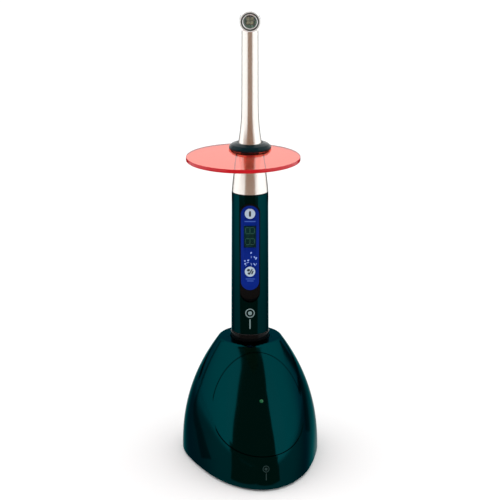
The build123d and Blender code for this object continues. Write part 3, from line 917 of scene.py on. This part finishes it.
def prints():
    """Ink on the film: bars for captions and a few plain mode marks."""
    faint = bmesh.new()
    bar(faint, 0, 164.9, 7.6, 0.7, 0, PRINT_Y, 0.02)
    bar(faint, 0.2, 125.0, 6.4, 0.6, 0, PRINT_Y, 0.02)
    bar(faint, 0.2, 123.6, 4.6, 0.6, 0, PRINT_Y, 0.02)
    settle(from_bmesh("caption_bars", faint, WAND, [PRINT_FAINT]), "wand", "label_blue")
    pale = bmesh.new()
    marks = [(0.7, 143.2, 1.5, 0.8, 60), (3.0, 140.2, 1.6, 0.8, -45), (4.1, 139.4, 2.0, 0.8, 60),
             (-3.4, 137.6, 1.3, 0.9, 0), (-1.2, 138.0, 1.6, 0.9, 30), (-3.2, 135.6, 1.5, 1.0, 90),
             (3.0, 135.2, 2.2, 0.6, -50), (-1.6, 136.4, 2.0, 0.35, 20), (0.9, 135.3, 1.8, 0.3, -70),
             (4.3, 135.6, 1.0, 0.35, 80), (0.8, 140.3, 1.6, 0.25, 90), (-2.6, 134.4, 1.2, 0.3, 45)]
    for x, z, length, width, angle in marks:
        bar(pale, x, z, length, width, angle, PRINT_Y, 0.02)
    settle(from_bmesh("mode_marks", pale, WAND, [PRINT_PALE]), "wand", "label_blue")
    plain_mark("barrel_mark", "wand", "barrel_teal", barrel_radius, WAND, BARREL_MARK_Z, 3.2,
               PRINT_GREY)
    plain_mark("dock_mark", "dock", "dock_lacquer", dock_radius, DOCK, DOCK_MARK_Z, 2.2, PRINT_DIM)


def barrel_radius(angle, z):
    """The tapered barrel's radius, the same all round."""
    share = (z - BARREL_LOW) / (BARREL_HIGH - BARREL_LOW)
    return BARREL_R[0] + (BARREL_R[1] - BARREL_R[0]) * share


def plain_mark(name, body, slot, radius, seat, z, size, material):
    """A dot in a ring over one stroke, printed round a wall: drawn flat, then wrapped on."""
    bm = bmesh.new()
    ring = (size, size * 0.8)
    dot = (size * 0.42, size * 0.02)
    for outer, inner in (ring, dot):
        loops = []
        for r, y in ((outer, -0.06), (outer, 0.02), (inner, 0.02), (inner, -0.06)):
            loops.append([bm.verts.new((r * math.sin(math.pi * k / 24), y,
                                        z + r * math.cos(math.pi * k / 24))) for k in range(48)])
        for first, second in zip(loops, loops[1:] + loops[:1]):
            for k in range(48):
                j = (k + 1) % 48
                bm.faces.new((first[k], first[j], second[j], second[k]))
    bar(bm, 0, z - size * 2.4, size * 2.2, size * 0.24, 90, -0.08, 0.1)
    nominal = radius(0, z)
    for v in bm.verts:
        angle = v.co.x / nominal
        r = radius(angle, v.co.z) - v.co.y
        v.co = (r * math.sin(angle), -r * math.cos(angle), v.co.z)
    settle(from_bmesh(name, bm, seat, [material]), body, slot)


def keys():
    """Two domed key caps, each with its own inlaid sign."""
    top = FLAT_Y - LABEL_T - 0.35
    for name, z in KEY_Z.items():
        outline = [(0, 0), (KEY_R, 0), (KEY_R, 1.75), (KEY_R - 0.08, 1.9), (KEY_R - 0.3, 1.98),
                   (KEY_R * 0.5, 1.995), (0, 2.0)]
        seat = WAND @ Matrix.Translation((0, (top + 2.0) * MM, z * MM)) @ LIE_DOWN
        cap = lathe(name + "_cap", outline, seat, PALE_KEY, 64)
        body = name.replace("key", "button")
        settle(cap, body, "key_white", name)
        signs = bmesh.new()
        if name == "power_key":
            bar(signs, 0, z, 4.3, 1.35, 90, top - 0.02, 0.1)
        else:
            bar(signs, 0.45, z + 0.1, 4.6, 0.9, 60, top - 0.02, 0.1)
            bar(signs, -1.0, z + 1.1, 2.6, 1.8, 20, top - 0.02, 0.1)
            bar(signs, 1.6, z - 0.5, 3.0, 1.0, 66, top - 0.02, 0.1)
            bar(signs, -0.7, z - 1.2, 2.2, 1.4, -35, top - 0.02, 0.1)
        settle(from_bmesh(name + "_sign", signs, WAND, [KEY_INK]), body, "black_gloss")


# ---- Eye shield ----

def shield():
    """The dark collar and the red disc, whose hole is off its centre."""
    seat = DISC_HIGH + 0.06
    under = DISC_LOW - 0.06
    top = high("shield_grommet").z
    lip = rounded([(8.3, top, 0), (9.2, top, 0.4), (12.3, top - 1.0, 1.6), (COLLAR_R, seat + 1.4, 1.0),
                   (COLLAR_R, seat, 0.45), (11.93, seat, 0)], 6)
    outline = [(9.2, low("shield_grommet").z), (8.9, 210.6), (8.35, top - 1.2), (8.22, top - 0.3)]
    outline += lip + [(11.93, under), (12.8, under), (12.3, low("shield_grommet").z)]
    collar = lathe("shield_boss", outline, WAND, SILICONE, 160)
    settle(collar, "shield_collar", "grommet_rubber", "shield_grommet")
    bm = disc_bmesh()
    disc = from_bmesh("shield_plate", bm, WAND, [SHIELD_RED, SHIELD_RIM])
    settle(disc, "shield", "shield_red", "shield_disc")


def disc_bmesh(turns=256):
    """A flat disc with rounded rims and an off-centre hole, the rim in its own material."""
    edge = 0.3
    flat = 0.4  # a ring just inside the rounding keeps the faces' shading flat
    turned = [(flat, 0.0), (edge, 0.0), (0.09, 0.09), (0.0, edge)]
    rim = [(inset, DISC_HIGH - drop) for inset, drop in turned]
    rim += [(inset, DISC_LOW + drop) for inset, drop in turned[::-1]]
    middle = Vector(DISC_OFFSET)
    circles = [(Vector((0, 0)), DISC_HOLE_R, DISC_HIGH)]
    circles += [(middle, DISC_R - inset, z) for inset, z in rim]
    circles += [(Vector((0, 0)), DISC_HOLE_R, DISC_LOW)]
    bm = bmesh.new()
    rings = []
    for centre, r, z in circles:
        ring = []
        for k in range(turns):
            a = 2 * math.pi * k / turns
            ring.append(bm.verts.new((centre.x + r * math.cos(a), centre.y + r * math.sin(a), z)))
        rings.append(ring)
    for i, (a, b) in enumerate(zip(rings, rings[1:] + rings[:1])):
        for k in range(turns):
            j = (k + 1) % turns
            made = bm.faces.new((a[k], a[j], b[j], b[k]))
            made.material_index = 1 if 2 <= i <= 6 else 0
    return bm


# ---- Carried-over nodes ----

def coat_nodes():
    """Every node that stays as the frame has it gets its own finish."""
    finishes = {
        MATT_BLACK: ["dock_base_plate", "dc_jack", "contact_carrier", "board_carrier"],
        DOCK_COAT: ["socket_liner"],
        STEEL: ["base_screws", "board_screws", "ballast_weight", "centre_pin_spring",
                "ring_pin_spring", "battery_spring", "tact_switches"],
        GOLD: ["jack_pin", "pin_barrels", "centre_plunger", "ring_plunger", "tail_pad",
               "tail_ring", "cell_contact"],
        LAMINATE: ["charging_board", "indicator_board", "control_board", "led_board"],
        CHIP_BLACK: ["board_components", "control_components"],
        COPPER: ["heat_pipe"],
        FOOT_RUBBER: ["led_leads", "tail_seal"],
        CELL_WRAP: ["battery_cell"],
        CHARGE_GREEN: ["indicator_led"],
    }
    for material, names in finishes.items():
        for name in names:
            slots = frame["nodes"][name].data.materials
            slots.clear()
            slots.append(material)


# ---- Studio ----

def flat_light(name, colour, strength):
    """A plain emitting material for the stage's cards."""
    f = Finish(name, Base_Color=rgb(0, 0, 0), Roughness=1.0, Specular_IOR_Level=0.0,
               Emission_Color=rgb(*colour), Emission_Strength=strength)
    return f.material


def studio():
    """A pale floor, an even white surround, and dark sheets that only reflections see."""
    world = bpy.data.worlds.new("surround")
    bpy.context.scene.world = world
    world.use_nodes = True
    backdrop = world.node_tree.nodes["Background"]
    backdrop.inputs["Color"].default_value = rgb(1, 1, 1)
    backdrop.inputs["Strength"].default_value = 1.3
    f = Finish("pale_floor", Roughness=0.8, Specular_IOR_Level=0.1)
    f.feed(Base_Color=f.mix(f.noise(4.0), rgb(0.86, 0.86, 0.86), rgb(0.88, 0.88, 0.88)))
    bm = bmesh.new()
    for x, y in ((-9, -9), (9, -9), (9, 9), (-9, 9)):
        bm.verts.new((x * 1000, y * 1000, 0))
    bm.faces.new(bm.verts)
    from_bmesh("floor", bm, Matrix(), [f.material])
    gap = flat_light("front_gap", (0.24, 0.15, 0.10), 1.0)
    dim = flat_light("side_gap", (0.2, 0.2, 0.2), 1.0)
    dark = flat_light("back_gap", (0.04, 0.04, 0.04), 1.0)
    # painted shadow: the floor that reflections see grows darker towards the dock
    sector("near_mat", [(-180, 180, 30, 0.3), (-180, 180, 720, 0.3)], painted_floor_shadow())
    patch("front_mat", [(-25, -70), (0, -88), (35, -80), (165, -160), (430, -355), (0, -560),
                        (-520, -205), (-50, -77)], gap)
    mat("neck_mat", (-33, 34), 560, FAR, gap)
    sector("low_screen", [(-70, 50, SCREEN_R, 0.6), (-72, 51, SCREEN_R, SCREEN_TOP)], gap)
    patch("left_mat", [(-60, -40), (-150, 25), (-360, 215), (-4850, 3500), (-4750, 3650),
                       (-240, 160), (-110, 20), (-50, -30)], dim)
    patch("right_mat", [(80, 30), (120, 45), (290, 265), (3850, 4600), (3550, 4850), (300, 400),
                        (155, 155)], dim)
    mat("back_left_mat", (-178, -134), 655, FAR, dark)
    mat("back_right_mat", (134, 178), 655, FAR, dark)
    sky("front_sky", [(0, -33, 34), (3, -33, 34), (3.1, -73, 51), (15, -74, 51), (35, -75, 51),
                      (49, -79, 55), (60, -82, 67), (66, -88, 98), (76, -104, 118),
                      (90, -104, 118)], gap)
    sky("left_sky", [(0, -128.5, -124.5), (20, -131, -127), (34, -133, -129.5)], dim)
    sky("right_sky", [(0, 139, 145), (17, 127.5, 132.5)], dim)


def painted_floor_shadow():
    """The floor close by as reflections see it, with a painted shadow that darkens it towards the
    dock.
    """
    f = Finish("painted_floor_shadow", Base_Color=rgb(0, 0, 0), Roughness=1.0, Specular_IOR_Level=0.0,
               Emission_Strength=1.0)
    away = f.node("ShaderNodeVectorMath", {"operation": "LENGTH"}, {0: f.place}, "Value")
    near, far = FLOOR_SHADOW_M
    share = f.node("ShaderNodeMapRange", {"interpolation_type": "SMOOTHSTEP"},
                   {"Value": away, "From Min": near, "From Max": far})
    # painted shade: grey near the dock, rising to plain white farther out
    return f.feed(Emission_Color=f.mix(share, rgb(0.5, 0.5, 0.5), rgb(1.12, 1.12, 1.12))).material


def sector(name, rows, material):
    """A sheet of rows, each (start, end, radius, height) about the wand's axis."""
    steps = 32
    bm = bmesh.new()
    grid = []
    for start, end, r, z in rows:
        line = []
        for k in range(steps + 1):
            a = math.radians(start + (end - start) * k / steps)
            line.append(bm.verts.new((r * math.sin(a), -r * math.cos(a), z)))
        grid.append(line)
    for low_row, high_row in zip(grid, grid[1:]):
        for k in range(steps):
            bm.faces.new((low_row[k], low_row[k + 1], high_row[k + 1], high_row[k]))
    only_reflected(from_bmesh(name, bm, WAND, [material]))


def only_reflected(made):
    """A stage piece that nothing but glossy reflections sees."""
    made.visible_camera = False
    made.visible_diffuse = False
    made.visible_shadow = False
    made.visible_transmission = False


def patch(name, outline, material):
    """A flat shape just over the floor, seen only in reflections."""
    bm = bmesh.new()
    bm.faces.new([bm.verts.new((x, y, SHEET_Z)) for x, y in outline])
    bmesh.ops.triangulate(bm, faces=bm.faces)
    only_reflected(from_bmesh(name, bm, WAND, [material]))


def mat(name, turn, near, far, material):
    """A sector just over the floor, seen only in reflections."""
    sector(name, [(*turn, near, SHEET_Z), (*turn, far, SHEET_Z)], material)


def sky(name, outline, material):
    """Part of a far dome, seen only in reflections, from (elevation, start, end) rows."""
    rows = []
    for under, over in zip(outline, outline[1:]):
        for k in range(5):
            rows.append(dome_row(*[a + (b - a) * k / 5 for a, b in zip(under, over)]))
    rows.append(dome_row(*outline[-1]))
    sector(name, rows, material)


def dome_row(elevation, start, end):
    """One row of the dome, stopping just short of its very top."""
    up = math.radians(min(elevation, 89.94))
    return start, end, FAR * math.cos(up), FAR * math.sin(up)


def look_from(eye, target):
    """A matrix at eye whose -Z looks at target."""
    turn = (target - eye).to_track_quat("-Z", "Y")
    return Matrix.Translation(eye) @ turn.to_matrix().to_4x4()


def camera():
    """A long lens, square on to the panel and a little above the shield."""
    data = bpy.data.cameras.new("camera")
    data.sensor_width = 36.0
    data.lens = CAMERA_LENS
    eye = bpy.data.objects.new("camera", data)
    bpy.context.scene.collection.objects.link(eye)
    eye.matrix_world = look_from(WAND @ CAMERA_EYE, WAND @ CAMERA_AIM)
    bpy.context.scene.camera = eye
    bpy.context.scene.view_settings.view_transform = "Standard"


camera()
studio()
dock_pieces()
head_pieces()
barrel()
tail()
panel()
keys()
shield()
coat_nodes()
